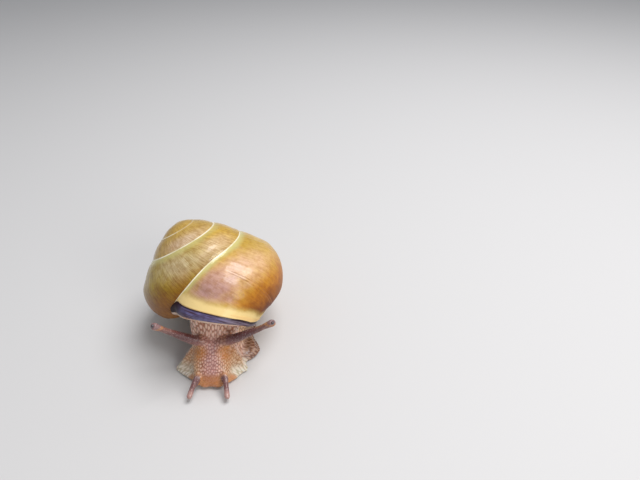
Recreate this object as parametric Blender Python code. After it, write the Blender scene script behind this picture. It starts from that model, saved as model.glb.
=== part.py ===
"""A grove snail, Cepaea nemoralis, crawling with its head bent down and its feelers out.

Metres, +Z up. The snail stands on z = 0 with its head towards -Y, so +X is its left side. The
origin is on the sole, under the middle of the foot. Lengths below are in millimetres and become
metres through MM. Neighbouring pieces keep a gap of GAP between them.
"""

import math

import bmesh
import bpy
import numpy as np
from mathutils import Vector

MM = 0.001
GAP = 0.3

# ---- shell: a tube of growing sections wound about a leaning axis -------------------------------
# The axis runs up through the apex. Sections lie in planes through it. TURN counts radians from the
# mouth of the shell back to the apex, so it is 0 at the mouth and negative behind it.
SHELL_APEX = (-6.13, 3.1, 16.46)
SHELL_LEAN = tuple(math.radians(a) for a in (28.2, -11.5, -108.4))
WHORL_GROWTH = 1.532            # how much wider the coil gets in one whole turn
TUBE_GROWTH = 0.74              # the tube itself widens by this power of the coil's growth
SPIRE_DROP_POWER = 1.299        # above 1, the early whorls sit flatter than a true cone
COIL_RADIUS = 3.45              # from the axis to the tube's centre, at the mouth
COIL_DROP = 10.94               # from the apex down to the tube's centre, at the mouth
TUBE_WIDTH = 9.47               # half the tube, across the shell
TUBE_HEIGHT = 7.35              # half the tube, along the axis
BASE_FLATTEN = 0.57             # the tube's lower half is this much as tall as its upper half
TUBE_SQUARENESS = 2.19          # 2 is an ellipse, more is squarer
TUBE_TILT = math.radians(-31.3)
MOUTH_DROP = 2.48               # the last stretch turns down towards the mouth
MOUTH_DROP_TURN = 1.0
LIP_SLANT = 0.96                # radians by which the lip's base lags behind its top
LIP_SWAY = -0.424               # and by which its outer side lags behind its inner side
COLUMELLA = 0.45                # radius of the solid pillar on the axis
SPIRE_TURNS = 4.4
SPIRE_END = -2 * math.pi + 0.5  # where the spire stops and the body whorl takes over
RING_POINTS = 30
MOUTH_START = -1.4              # from here on the sections swing round to the slant of the lip

# ---- lip and mantle ----------------------------------------------------------------------------
LIP_WIDTH = 1.25                # along the direction of growth
LIP_THICK = 1.0                 # in from the shell's outer surface
LIP_FLARE = 0.22                # how far the lip turns outwards
LIP_FIRST, LIP_LAST = math.radians(84), math.radians(-150)
MANTLE_RIM = 0.35               # how far the mantle's edge shows past the lip
MANTLE_INSET = LIP_FLARE - LIP_THICK - GAP

# ---- soft body: each profile is (place along the body in y, value) -----------------------------
SPINE_X = ((24, -2.0), (15, -0.5), (4, 0.6), (-4, 0.2), (-9, -0.5), (-14.5, -0.9))
FOOT_RIGHT_SIDE = ((24, 0.45), (22, 1.3), (14, 3.3), (3, 4.6), (-6, 4.6), (-8.6, 4.4),
                   (-10.4, 6.2), (-11.4, 5.1), (-12.4, 3.6), (-13.6, 2.3), (-14.5, 1.3))
FOOT_LEFT_SIDE = ((24, 0.45), (22, 1.3), (14, 3.3), (3, 4.2), (-3.8, 4.1), (-7.4, 5.9),
                  (-8.5, 5.5), (-9.3, 3.9), (-10.6, 4.7), (-11.7, 3.9), (-12.9, 3.2),
                  (-13.6, 2.3), (-14.5, 1.3))
FOOT_EDGE = ((24, 0.5), (15, 0.8), (-7, 1.3), (-9, 0.9), (-13, 0.8), (-14.5, 0.5))
BODY_HALF = ((24, 0.3), (14, 2.2), (3, 3.6), (-6, 3.4), (-9.5, 3.2), (-12.4, 2.7), (-14, 2.1),
             (-14.5, 1.2))
BODY_TOP = ((24, 0.9), (19, 2.1), (12, 3.3), (6, 4.6), (-1, 6.5), (-5, 9.8), (-8, 10.6),
            (-9.2, 7.6), (-10.2, 5.7), (-12.2, 4.3), (-13.4, 2.9), (-14, 2.1), (-14.5, 1.2))
BODY_LEAN = ((24, 0), (5, 0), (-3, -1.0), (-7, -1.9), (-9.5, -0.6), (-14, 0))
SOLE_LIFT = ((24, 0), (-13, 0), (-13.6, 0.3), (-14.5, 0.6))
SPLIT_HEIGHT = 1.75             # the foot lies below this, the head and neck above it

# node: (front y, back y, part of the section)
BODY_NODES = {
    "muzzle": (-14.5, -12.5, "whole"),
    "head": (-12.5, -9.0, "upper"),
    "neck": (-9.0, -5.0, "upper"),
    "trunk": (-5.0, 4.0, "upper"),
    "foot_front": (-12.5, -5.0, "lower"),
    "foot_middle": (-5.0, 4.0, "lower"),
    "foot_rear": (4.0, 14.0, "whole"),
    "tail": (14.0, 24, "whole"),
}
BODY_FRONT, BODY_BACK = -14.5, 24
BODY_FINISH = {"muzzle": "skin_orange", "foot_front": "foot_cream", "foot_middle": "foot_cream"}
UNDER_SHELL = ("neck", "trunk", "foot_middle", "foot_rear")
STATION_STEP = 0.75

# ---- feelers: base, tip, sag of the middle, base radius, tip radius -----------------------------
UPPER_FEELERS = {
    "right": ((-1.2, -10.0, 5.0), (-7.4, -12.1, 10.9), -0.12),
    "left": ((0.2, -10.1, 5.0), (8.42, -11.2, 10.6), -0.05),
}
LOWER_FEELERS = {
    "right": ((-2.3, -12.4, 2.7), (-3.35, -16.0, 1.0), 0.1),
    "left": ((1.2, -12.4, 2.7), (1.95, -16.0, 1.0), 0.1),
}
UPPER_RADII = (0.62, 0.40, 0.56)   # at the base, along the stalk, at the bulb
LOWER_RADII = (0.46, 0.36, 0.40)
STALK_TAPER = 0.6                  # the stalk thins over this share of its length
BULB_START = 0.86                  # and swells into the bulb from here
EYE_RADIUS = 0.30
EYE_GAP = 0.08
EYE_DEPTH = 0.15                   # how far the eye's centre lies inside the bulb's surface
EYE_FACING = (0.8, (0, -0.6, 0.5))  # along the stalk by this much, plus forwards and up

# ---- colours: name -> (red, green, blue, roughness) --------------------------------------------
FINISHES = {
    "shell_yellow": (0.62, 0.40, 0.08, 0.25),
    "shell_ochre": (0.50, 0.30, 0.06, 0.28),
    "lip_dark": (0.05, 0.02, 0.03, 0.22),
    "mantle_peach": (0.72, 0.42, 0.26, 0.45),
    "skin_tan": (0.50, 0.30, 0.19, 0.45),
    "skin_orange": (0.62, 0.30, 0.12, 0.42),
    "foot_cream": (0.66, 0.56, 0.42, 0.45),
    "feeler_mauve": (0.33, 0.18, 0.16, 0.40),
    "eye_black": (0.02, 0.02, 0.03, 0.15),
}


# ---- helpers ------------------------------------------------------------------------------------
def clear_scene():
    for obj in list(bpy.data.objects):
        bpy.data.objects.remove(obj, do_unlink=True)


def finish(name):
    """The Principled material of this name, made the first time it is asked for."""
    material = bpy.data.materials.get(name)
    if material:
        return material
    *colour, roughness = FINISHES[name]
    material = bpy.data.materials.new(name)
    material.use_nodes = True
    shader = material.node_tree.nodes["Principled BSDF"]
    shader.inputs["Base Color"].default_value = (*colour, 1)
    shader.inputs["Roughness"].default_value = roughness
    shader.inputs["Metallic"].default_value = 0
    return material


def loft(name, rings, finish_name, parent=None):
    """A closed solid through rings of points in millimetres, each end closed by a fan of triangles."""
    mesh = bmesh.new()
    rows = [[mesh.verts.new(Vector(point) * MM) for point in ring] for ring in rings]
    count = len(rows[0])
    for row, following in zip(rows, rows[1:]):
        for i in range(count):
            j = (i + 1) % count
            mesh.faces.new((row[i], row[j], following[j], following[i]))
    for row in (rows[0], rows[-1]):
        centre = mesh.verts.new(sum((vert.co for vert in row), Vector()) / count)
        for i in range(count):
            mesh.faces.new((row[i], row[(i + 1) % count], centre))
    bmesh.ops.recalc_face_normals(mesh, faces=mesh.faces)
    data = bpy.data.meshes.new(name)
    mesh.to_mesh(data)
    mesh.free()
    data.shade_smooth()
    data.set_sharp_from_angle(angle=math.radians(50))
    data.materials.append(finish(finish_name))
    obj = bpy.data.objects.new(name, data)
    obj.parent = parent
    bpy.context.scene.collection.objects.link(obj)
    return obj


def profile(knots, y):
    """The value at y of a smooth curve through the knots that never passes beyond them."""
    places, values = np.array(sorted(knots), float).T
    steps = np.diff(places)
    slopes = np.diff(values) / steps
    pairs = slopes[:-1] * slopes[1:]
    sums = np.where(pairs > 0, slopes[:-1] + slopes[1:], 1)
    tangents = np.concatenate(([slopes[0]], np.where(pairs > 0, 2 * pairs / sums, 0), [slopes[-1]]))
    i = int(np.clip(np.searchsorted(places, y) - 1, 0, len(steps) - 1))
    t = (y - places[i]) / steps[i]
    ends = values[i] * (1 + 2 * t) * (1 - t) ** 2 + values[i + 1] * t * t * (3 - 2 * t)
    bends = steps[i] * (tangents[i] * t * (1 - t) ** 2 + tangents[i + 1] * t * t * (t - 1))
    return float(ends + bends)


def as_cutter(obj):
    obj.hide_render = True
    obj.display_type = "WIRE"
    return obj


def boolean(obj, other, operation):
    modifier = obj.modifiers.new(f"{operation} {other.name}", "BOOLEAN")
    modifier.operation = operation
    modifier.solver = "EXACT"
    modifier.object = other


# ---- shell --------------------------------------------------------------------------------------
def tube_point(turn, around, grow=0.0):
    """A point of the shell's tube: turn along the coil, around its section (0 outwards, pi/2 up)."""
    size = WHORL_GROWTH ** (turn / (2 * math.pi))
    tube = size ** TUBE_GROWTH
    power = 2 / TUBE_SQUARENESS
    across = math.copysign(abs(math.cos(around)) ** power, math.cos(around))
    along = math.copysign(abs(math.sin(around)) ** power, math.sin(around))
    if along < 0:
        along *= BASE_FLATTEN
    across *= TUBE_WIDTH * tube + grow
    along *= TUBE_HEIGHT * tube + grow
    tilt_cos, tilt_sin = math.cos(TUBE_TILT), math.sin(TUBE_TILT)
    radius = COIL_RADIUS * size + across * tilt_cos - along * tilt_sin
    radius = max(radius, COLUMELLA * size)
    late = max(turn + MOUTH_DROP_TURN, 0) / MOUTH_DROP_TURN
    height = (-COIL_DROP * size ** SPIRE_DROP_POWER + across * tilt_sin + along * tilt_cos
              - MOUTH_DROP * late ** 2)
    return Vector((radius * math.cos(turn), -radius * math.sin(turn), height))


def around_angles():
    return [2 * math.pi * i / RING_POINTS for i in range(RING_POINTS)]


def lip_turn(around):
    """Where along the coil the shell ends, at this place round the mouth."""
    return -LIP_SLANT * (1 - math.sin(around)) / 2 + LIP_SWAY * math.cos(around)


def tube_ring(turn, grow=0.0):
    return [tube_point(turn, around, grow) for around in around_angles()]


def mouth_ring(grow=0.0, share=1.0):
    """The ring where the shell ends, or one at a share of the way to it from MOUTH_START."""
    return [tube_point(MOUTH_START + (lip_turn(around) - MOUTH_START) * share, around, grow)
            for around in around_angles()]


def mouth_frame():
    """The mouth's centre and the direction out of it."""
    ring = [tube_point(lip_turn(a), a) for a in np.linspace(LIP_LAST, LIP_FIRST, 24)]
    points = np.array(ring)
    centre = points.mean(axis=0)
    normal = np.linalg.svd(points - centre)[2][2]
    ahead = np.array(tube_point(0.1, 0)) - np.array(tube_point(0, 0))
    return Vector(centre), Vector(normal * math.copysign(1, normal @ ahead))


def mouth_point(around, outward, ahead):
    """A point by the edge of the mouth: so far outward from the edge, and so far out of the mouth."""
    centre, forward = mouth_frame()
    edge = tube_point(lip_turn(around), around)
    radial = edge - centre
    radial = (radial - forward * radial.dot(forward)).normalized()
    return edge + radial * outward + forward * ahead


def spire_rings(first, last, steps, grow):
    """Rings of one length of the spire. Its first ring is tucked inside the length before it."""
    tuck, overlap = 0.06, 0.3
    turns = np.linspace(first, last, steps + 1)
    return [tube_ring(first - overlap, grow - tuck)] + [tube_ring(turn, grow) for turn in turns]


def make_spire(name, grow, parent):
    """The early whorls as one solid: lengths of under a turn each, joined by unions."""
    start = -SPIRE_TURNS * 2 * math.pi
    cuts = np.linspace(start, SPIRE_END, 5)
    steps = (9, 12, 17, 22)
    lengths = [loft(f"{name}_length_{i}", spire_rings(cuts[i], cuts[i + 1], steps[i], grow),
                    "shell_ochre", parent) for i in range(4)]
    spire = lengths[-1]
    for other in lengths[:-1]:
        boolean(spire, as_cutter(other), "UNION")
    spire.name = name
    return spire


def make_body_whorl(parent, spire_clearance):
    first = SPIRE_END + GAP / TUBE_WIDTH
    straight = [tube_ring(turn) for turn in np.linspace(first, MOUTH_START, 26)]
    towards_mouth = [mouth_ring(share=share) for share in (0.25, 0.5, 0.75, 1.0)]
    inside = [[mouth_point(a, MANTLE_INSET, 0) for a in around_angles()]]
    whorl = loft("shell_body_whorl", straight + towards_mouth + inside, "shell_yellow", parent)
    boolean(whorl, spire_clearance, "DIFFERENCE")


def lip_fullness(around):
    """The lip is full over the top of the mouth and slimmer down its outer side and base."""
    knots = ((LIP_LAST, 0.45), (math.radians(-120), 0.6), (0, 0.62), (math.radians(35), 0.95),
             (math.radians(70), 1.0), (LIP_FIRST, 0.85))
    return profile(knots, around)


def make_lip(parent, spire_clearance):
    """A rounded rim round the outer side and base of the mouth."""
    rings = []
    steps, sides = 28, 8
    for around in np.linspace(LIP_FIRST, LIP_LAST, steps + 1):
        slim = lip_fullness(around)
        half_thick, half_wide = LIP_THICK / 2 * slim, LIP_WIDTH / 2 * slim
        ring = []
        for side in range(sides):
            angle = 2 * math.pi * side / sides
            outward = LIP_FLARE - half_thick + half_thick * math.cos(angle)
            ring.append(mouth_point(around, outward, GAP + half_wide * (1 + math.sin(angle))))
        rings.append(ring)
    lip = loft("shell_lip", rings, "lip_dark", parent)
    boolean(lip, spire_clearance, "DIFFERENCE")


def make_mantle(parent, spire_clearance):
    """The collar of flesh that fills the mouth inside the lip, its edge just past the lip."""
    depth = LIP_WIDTH + MANTLE_RIM
    layers = ((MANTLE_INSET, GAP), (MANTLE_INSET, GAP + 0.6 * depth),
              (MANTLE_INSET - 0.25, GAP + depth))
    rings = [[mouth_point(a, outward, ahead) for a in around_angles()] for outward, ahead in layers]
    mantle = loft("mantle_collar", rings, "mantle_peach", parent)
    boolean(mantle, spire_clearance, "DIFFERENCE")


def make_mouth_clearance(parent):
    """The last whorl, grown by the gap and carried past the lip and the mantle."""
    first = SPIRE_END - 0.5
    ahead = LIP_WIDTH + MANTLE_RIM + 2 * GAP
    straight = [tube_ring(turn, GAP) for turn in np.linspace(first, MOUTH_START, 18)]
    towards_mouth = [mouth_ring(GAP, share) for share in (0.33, 0.66)]
    layers = ((LIP_FLARE + GAP, 0), (LIP_FLARE + GAP, ahead), (MANTLE_INSET, ahead))
    past = [[mouth_point(a, outward, shift) for a in around_angles()] for outward, shift in layers]
    return as_cutter(loft("mouth_clearance", straight + towards_mouth + past, "shell_ochre", parent))


def make_shell():
    """All of the shell, placed by one empty at its apex. Gives back the cutters that clear it."""
    apex = bpy.data.objects.new("shell_apex", None)
    apex.location = Vector(SHELL_APEX) * MM
    apex.rotation_euler = SHELL_LEAN
    bpy.context.scene.collection.objects.link(apex)
    make_spire("shell_spire", 0.0, apex)
    clearance = as_cutter(make_spire("spire_clearance", GAP, apex))
    make_body_whorl(apex, clearance)
    make_lip(apex, clearance)
    make_mantle(apex, clearance)
    return clearance, make_mouth_clearance(apex)


# ---- soft body ----------------------------------------------------------------------------------
def half_section(y, foot_knots, part, grow):
    """One side of the body across y, as (distance out, height), from the sole's middle to the top."""
    foot = profile(foot_knots, y) + grow
    edge = profile(FOOT_EDGE, y)
    half = min(profile(BODY_HALF, y) + grow, foot - 0.2 * edge)
    top = profile(BODY_TOP, y) + grow
    low = profile(SOLE_LIFT, y) - grow
    waist = low + min(SPLIT_HEIGHT - low, 0.5 * (top - low))
    sole = [(0, low), (0.6 * foot, low), (foot - 0.4 * edge, low), (foot, low + 0.45 * edge),
            (foot - 0.5 * edge, low + edge)]
    hollow = (0.35 * (foot - 0.5 * edge) + 0.65 * half, low + edge + 0.4 * (waist - low - edge))
    angles = [math.radians(a) for a in (20, 38, 56, 74)]
    back = [(half * math.cos(a) ** 0.8, waist + (top - waist) * math.sin(a)) for a in angles]
    back.append((0, top))
    if part == "upper":
        floor = SPLIT_HEIGHT + GAP / 2 - grow
        return [(0, floor), (0.5 * half, floor), (half, floor)] + back
    if part == "lower":
        ceiling = SPLIT_HEIGHT - GAP / 2
        return sole + [hollow, (half, ceiling), (0.5 * half, ceiling), (0, ceiling)]
    return sole + [hollow, (half, waist)] + back


def body_ring(y, part, grow=0.0):
    """The body's outline across y, leaning towards the mouth of the shell where it rises."""
    centre, lean = profile(SPINE_X, y), profile(BODY_LEAN, y)
    top = profile(BODY_TOP, y)

    def placed(out, height, side):
        share = max(0.0, min(1.0, (height - SPLIT_HEIGHT) / max(top - SPLIT_HEIGHT, 0.1)))
        return Vector((centre + side * out + lean * share, y, height))

    left = [placed(*point, 1) for point in half_section(y, FOOT_LEFT_SIDE, part, grow)]
    right = [placed(*point, -1) for point in half_section(y, FOOT_RIGHT_SIDE, part, grow)]
    return left + right[-2:0:-1]


def body_rings(front, back, part, grow=0.0):
    count = max(2, round((back - front) / STATION_STEP))
    return [body_ring(y, part, grow) for y in np.linspace(front, back, count + 1)]


def make_body(spire_clearance, mouth_clearance):
    for name, (front, back, part) in BODY_NODES.items():
        front += GAP / 2 if front > BODY_FRONT else 0
        back -= GAP / 2 if back < BODY_BACK else 0
        node = loft(name, body_rings(front, back, part), BODY_FINISH.get(name, "skin_tan"))
        if name in UNDER_SHELL:
            boolean(node, spire_clearance, "DIFFERENCE")
            boolean(node, mouth_clearance, "DIFFERENCE")


# ---- feelers and eyes ---------------------------------------------------------------------------
def feeler_path(base, tip, sag, share):
    middle = (Vector(base) + Vector(tip)) / 2 + Vector((0, 0, 2 * sag))
    return (Vector(base) * (1 - share) ** 2 + middle * 2 * share * (1 - share)
            + Vector(tip) * share ** 2)


def feeler_rings(base, tip, sag, radii, steps, sides):
    """Round rings along the feeler, thick at the base and at the bulb, with a domed end."""
    thick, slim, bulb = radii
    places = []
    for i in range(steps + 1):
        share = i / steps
        radius = slim + (thick - slim) * max(0, 1 - share / STALK_TAPER) ** 1.5
        radius += (bulb - slim) * max(0, (share - BULB_START) / (1 - BULB_START))
        places.append((feeler_path(base, tip, sag, share), radius))
    end, ahead = places[-1][0], (places[-1][0] - places[-2][0]).normalized()
    places += [(end + ahead * bulb * math.sin(a), bulb * math.cos(a)) for a in (0.55, 1.1)]
    side = ahead.cross(Vector((0, 0, 1))).normalized()
    rings = []
    for i, (centre, radius) in enumerate(places):
        along = (places[min(i + 1, len(places) - 1)][0] - places[max(i - 1, 0)][0]).normalized()
        out = (side - along * side.dot(along)).normalized()
        up = along.cross(out)
        rings.append([centre + (out * math.cos(a) + up * math.sin(a)) * radius
                      for a in (2 * math.pi * k / sides for k in range(sides))])
    return rings


def ball(name, centre, radius, finish_name):
    bpy.ops.mesh.primitive_uv_sphere_add(segments=14, ring_count=9, radius=radius * MM,
                                         location=Vector(centre) * MM)
    obj = bpy.context.object
    obj.name = name
    obj.data.shade_smooth()
    obj.data.materials.append(finish(finish_name))
    return obj


def make_feelers():
    """Both pairs of feelers, cut to stand on the head, and the eyes at the tips of the upper pair."""
    head = as_cutter(loft("head_clearance", body_rings(BODY_FRONT, -7, "whole", GAP), "skin_tan"))
    for side, (base, tip, sag) in UPPER_FEELERS.items():
        feeler = loft(f"feeler_upper_{side}", feeler_rings(base, tip, sag, UPPER_RADII, 13, 10),
                      "feeler_mauve")
        boolean(feeler, head, "DIFFERENCE")
        ahead = (Vector(tip) - Vector(base)).normalized()
        facing = (ahead * EYE_FACING[0] + Vector(EYE_FACING[1])).normalized()
        centre = Vector(tip) + facing * (UPPER_RADII[2] - EYE_DEPTH)
        socket = as_cutter(ball(f"socket_{side}", centre, EYE_RADIUS + EYE_GAP, "eye_black"))
        boolean(feeler, socket, "DIFFERENCE")
        ball(f"eye_{side}", centre, EYE_RADIUS, "eye_black")
    for side, (base, tip, sag) in LOWER_FEELERS.items():
        feeler = loft(f"feeler_lower_{side}", feeler_rings(base, tip, sag, LOWER_RADII, 7, 9),
                      "feeler_mauve")
        boolean(feeler, head, "DIFFERENCE")


def main():
    clear_scene()
    spire_clearance, mouth_clearance = make_shell()
    make_body(spire_clearance, mouth_clearance)
    make_feelers()


main()
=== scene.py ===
# %% [markdown]
# # A grove snail for a museum shelf
# The measured model of this snail is faceted and plain. This lesson dresses it: a finely wound shell with
# growth lines, a dark lip, one moist skin over all the soft body, and two eyes. The measured pieces are
# loaded first and never changed. They give every place and size, and each fine piece stands in for some
# of them. Lengths are thought of in millimetres here, because a snail is small, and MM turns them into
# metres.

# %% Load the measured model
import math
from contextlib import contextmanager

import bmesh
import bpy
import numpy as np
from mathutils import Euler, Matrix, Vector
from mathutils.bvhtree import BVHTree


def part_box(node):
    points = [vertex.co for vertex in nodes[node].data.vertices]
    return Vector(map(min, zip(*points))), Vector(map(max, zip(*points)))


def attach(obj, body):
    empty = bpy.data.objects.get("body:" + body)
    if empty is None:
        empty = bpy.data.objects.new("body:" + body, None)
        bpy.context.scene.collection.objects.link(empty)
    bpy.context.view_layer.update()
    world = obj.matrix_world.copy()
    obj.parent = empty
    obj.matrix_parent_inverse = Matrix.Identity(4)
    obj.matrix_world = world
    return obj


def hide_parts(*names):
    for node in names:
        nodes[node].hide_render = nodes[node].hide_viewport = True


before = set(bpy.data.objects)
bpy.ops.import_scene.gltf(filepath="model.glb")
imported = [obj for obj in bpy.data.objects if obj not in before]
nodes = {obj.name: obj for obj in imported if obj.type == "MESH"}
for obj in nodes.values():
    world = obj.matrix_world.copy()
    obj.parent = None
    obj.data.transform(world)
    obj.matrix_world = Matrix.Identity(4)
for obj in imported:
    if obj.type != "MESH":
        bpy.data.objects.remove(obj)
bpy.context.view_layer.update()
MM = 0.001
print("measured pieces:", len(nodes))

# %% [markdown]
# ## The camera
# The snail is seen from in front and above, from an arm's length at its own scale. The camera stands
# 58.7 mm above the floor, a little to the snail's left, and looks straight back and down.

# %% Camera
CAMERA_PLACE = (15, -58, 58.67)
CAMERA_DOWN = math.radians(36)
CAMERA_LENS, CAMERA_SENSOR = 27.17, 36
bpy.ops.object.camera_add(location=Vector(CAMERA_PLACE) * MM, rotation=(math.pi / 2 - CAMERA_DOWN, 0, 0))
camera = bpy.context.object
camera.name = "camera"
camera.data.lens, camera.data.sensor_width = CAMERA_LENS, CAMERA_SENSOR
camera.data.clip_start = 2 * MM
bpy.context.scene.camera = camera
print("camera looks", round(math.degrees(CAMERA_DOWN)), "degrees down")

# %% [markdown]
# ## Floor and light
# A shiny shell shows what is round it. Out of doors that is a pale cloudy sky, so the studio has one wide
# soft light overhead, a weaker one in front, and a pale surround. Area lights this close to a snail need
# well under a watt or two, since light falls off with the square of distance.

# %% Floor
def new_material(name, **settings):
    """A material, its node tree and its shader, whose inputs are set by name, with _ for a space."""
    material = bpy.data.materials.new(name)
    material.use_nodes = True
    shader = material.node_tree.nodes["Principled BSDF"]
    for key, value in settings.items():
        shader.inputs[key.replace("_", " ")].default_value = value
    return material, material.node_tree, shader


bpy.ops.object.select_all(action="DESELECT")
bpy.ops.mesh.primitive_plane_add(size=3.0)
floor = bpy.context.object
floor.name = "floor"
floor.data.materials.append(new_material("floor_pale", Base_Color=(0.62, 0.61, 0.60, 1), Roughness=0.7)[0])
print("floor laid at z = 0")


# %% Lights
def soft_light(name, place, aim, size, power, colour=(1, 1, 1)):
    bpy.ops.object.light_add(type="AREA", location=Vector(place) * MM)
    light = bpy.context.object
    light.name = name
    light.data.shape = "DISK"
    light.data.size = size * MM
    light.data.energy = power
    light.data.color = colour
    light.rotation_euler = (Vector(aim) - Vector(place)).to_track_quat("-Z", "Y").to_euler()
    return light


soft_light("sky_light", (110, 30, 300), (0, 0, 8), 220, 0.95, (0.98, 0.98, 1.0))
soft_light("front_light", (190, -200, 150), (0, 0, 6), 160, 0.30, (1.0, 0.98, 0.95))
world = bpy.data.worlds.new("pale_room")
bpy.context.scene.world = world
world.use_nodes = True
world.node_tree.nodes["Background"].inputs["Color"].default_value = (0.86, 0.89, 0.95, 1)
world.node_tree.nodes["Background"].inputs["Strength"].default_value = 0.36
bpy.context.scene.view_settings.view_transform = "Standard"
print("lights set")

# %% [markdown]
# ## The shell's rule
# A snail winds its shell by adding to the lip, a little wider and lower at each turn. So the whole surface
# follows one rule: a rounded section is carried round a slanting axis while it grows. No mesh tool makes
# that shape, so this piece is computed and not modelled by hand. `section` gives a point by two angles:
# `turn` along the coil, 0 at the mouth and negative behind it, and `around` the section, 0 at its outer
# side and a right angle at its top.

# %% The section of the coil
TURN = 2 * math.pi
SHELL_LEAN = Euler([math.radians(a) for a in (28.2, -11.5, -108.4)])
WHORL_GROWTH, TUBE_GROWTH, SPIRE_DROP_POWER = 1.532, 0.74, 1.299
COIL_RADIUS, COIL_DROP = 3.45, 10.94
TUBE_WIDTH, TUBE_HEIGHT, BASE_FLATTEN, SQUARENESS = 9.47, 7.35, 0.57, 2.19
TILT = math.radians(-31.3)
MOUTH_START, MOUTH_DROP, LIP_SLANT, LIP_SWAY = -1.4, 2.48, 0.96, -0.424


def signed_power(value, power):
    return np.sign(value) * np.abs(value) ** power


def section(turn, around, grow=0.0):
    """Radius from the shell's axis and height under its apex, in mm."""
    size = WHORL_GROWTH ** (turn / TURN)
    tube = size ** TUBE_GROWTH
    across, along = signed_power(np.cos(around), 2 / SQUARENESS), signed_power(np.sin(around), 2 / SQUARENESS)
    along = np.where(along < 0, along * BASE_FLATTEN, along)
    across, along = across * TUBE_WIDTH * tube + across * grow, along * TUBE_HEIGHT * tube + along * grow
    radius = COIL_RADIUS * size + across * math.cos(TILT) - along * math.sin(TILT)
    late = np.maximum(turn + 1, 0)
    height = (-COIL_DROP * size ** SPIRE_DROP_POWER + across * math.sin(TILT) + along * math.cos(TILT)
              - MOUTH_DROP * late ** 2)
    return radius, height


def bump(value, middle, width):
    return np.exp(-((value - middle) / width) ** 2)


def step(value, low, high):
    share = np.clip((value - low) / (high - low), 0, 1)
    return share * share * (3 - 2 * share)


def lip_turn(around):
    """Where along the coil the shell ends: trimmed back over the top, with its corner reaching forward."""
    slant = -LIP_SLANT * (1 - np.sin(around)) / 2 + LIP_SWAY * np.cos(around)
    return slant - 0.05 * bump(around, 0.84, 0.49) + 0.10 * step(around, 1.29, 1.47)


def in_tube(turn, radius, height):
    """The point's place in the section at this turn: (across, along), each 1 at the tube's own edge."""
    size = WHORL_GROWTH ** (turn / TURN)
    tube = size ** TUBE_GROWTH
    late = np.maximum(turn + 1, 0)
    out = radius - COIL_RADIUS * size
    up = height + COIL_DROP * size ** SPIRE_DROP_POWER + MOUTH_DROP * late ** 2
    across = (out * math.cos(TILT) + up * math.sin(TILT)) / (TUBE_WIDTH * tube)
    along = (-out * math.sin(TILT) + up * math.cos(TILT)) / (TUBE_HEIGHT * tube)
    return across, np.where(along < 0, along / BASE_FLATTEN, along)


def first_crossing(value, low, high, steps=120):
    """For each column, the first angle from low towards high where value falls below 0, or else high."""
    angles = np.linspace(low, high, steps)
    below = np.stack([value(a) < 0 for a in angles])
    below[-1] = True
    index = np.maximum(np.argmax(below, axis=0), 1)
    before, after = angles[index - 1], angles[index]
    for _ in range(30):
        middle = (before + after) / 2
        inside = value(middle) < 0
        before, after = np.where(inside, before, middle), np.where(inside, middle, after)
    return (before + after) / 2


AXIS_RADIUS = 0.03


def top_on_axis(turn):
    """The angle where the section's upper side reaches the axis."""
    return first_crossing(lambda a: section(turn, a + 0 * turn)[0] - AXIS_RADIUS, math.pi / 3, math.pi)


def seam_above(turn):
    """The angle where this whorl's top meets the whorl before it."""
    def level(around):
        across, along = in_tube(turn - TURN, *section(turn, around + 0 * turn))
        return np.abs(across) ** SQUARENESS + np.abs(along) ** SQUARENESS - 1
    return first_crossing(level, math.radians(20), math.pi)


def seam_below(turn):
    """The angle, on this whorl, of the seam where the next whorl lies against it."""
    across, along = in_tube(turn, *section(turn + TURN, seam_above(turn + TURN)))
    return np.arctan2(signed_power(along, SQUARENESS / 2), signed_power(across, SQUARENESS / 2))


print("seam above, in degrees, at turns -3 to 0:", np.degrees(seam_above(np.arange(-3, 1) * TURN)).round(1))

# %% [markdown]
# ## Columns and rows
# Only what shows of each whorl is made: the strip from the seam above it to the seam below. The lower edge
# of one strip is the upper edge of the next, so the strips are welded as they are made and the shell is
# one surface. Columns stand round the coil. Towards the mouth they swing over to the slant of the lip, and
# the same columns are used on every whorl so that the seams match. The last whorl has more rows, which go
# on under the shell to its axis.

# %% Columns
WHORLS = 4
PLAIN_COLUMNS, MOUTH_COLUMNS = 270, 80
SEAM_ROWS, BASE_ROWS, APEX_ROWS = 34, 78, 14


def slanted(share, around):
    return MOUTH_START + (lip_turn(around) - MOUTH_START) * share


mouth_shares = np.linspace(0, 1, MOUTH_COLUMNS + 1)[1:]
mouth_tops = np.full(MOUTH_COLUMNS, MOUTH_START)
for _ in range(40):
    mouth_tops = slanted(mouth_shares, seam_above(mouth_tops))
seam_end = mouth_tops[-1]
plain_tops = np.linspace(seam_end - TURN, MOUTH_START, PLAIN_COLUMNS + 1)
tops = np.concatenate([plain_tops, mouth_tops])
shares = np.concatenate([np.zeros(PLAIN_COLUMNS + 1), mouth_shares])
COLUMNS = len(tops) - 1
print(COLUMNS, "columns a turn; the seam reaches the lip at", round(float(seam_end), 3))

# %% [markdown]
# ## Relief on the shell
# The surface isn't quite smooth. Fine growth lines cross each whorl, some coarser than others. A thin
# raised thread runs along the seam. On the last whorl growth stopped and started twice and left two low
# steps, close together. Just behind the lip the shell pulls in a little and then flares. `relief` gives
# all of this as a height in mm, so it is real shape and not only shading.

# %% Relief
rng = np.random.default_rng(11)


def wavy(turn, waves, low, high):
    """A smooth random line along the coil, from many waves with between low and high crests a turn."""
    counts = rng.uniform(low, high, waves)
    starts = rng.uniform(0, TURN, waves)
    return sum(np.sin(turn * count + start) for count, start in zip(counts, starts)) / math.sqrt(waves)


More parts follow.
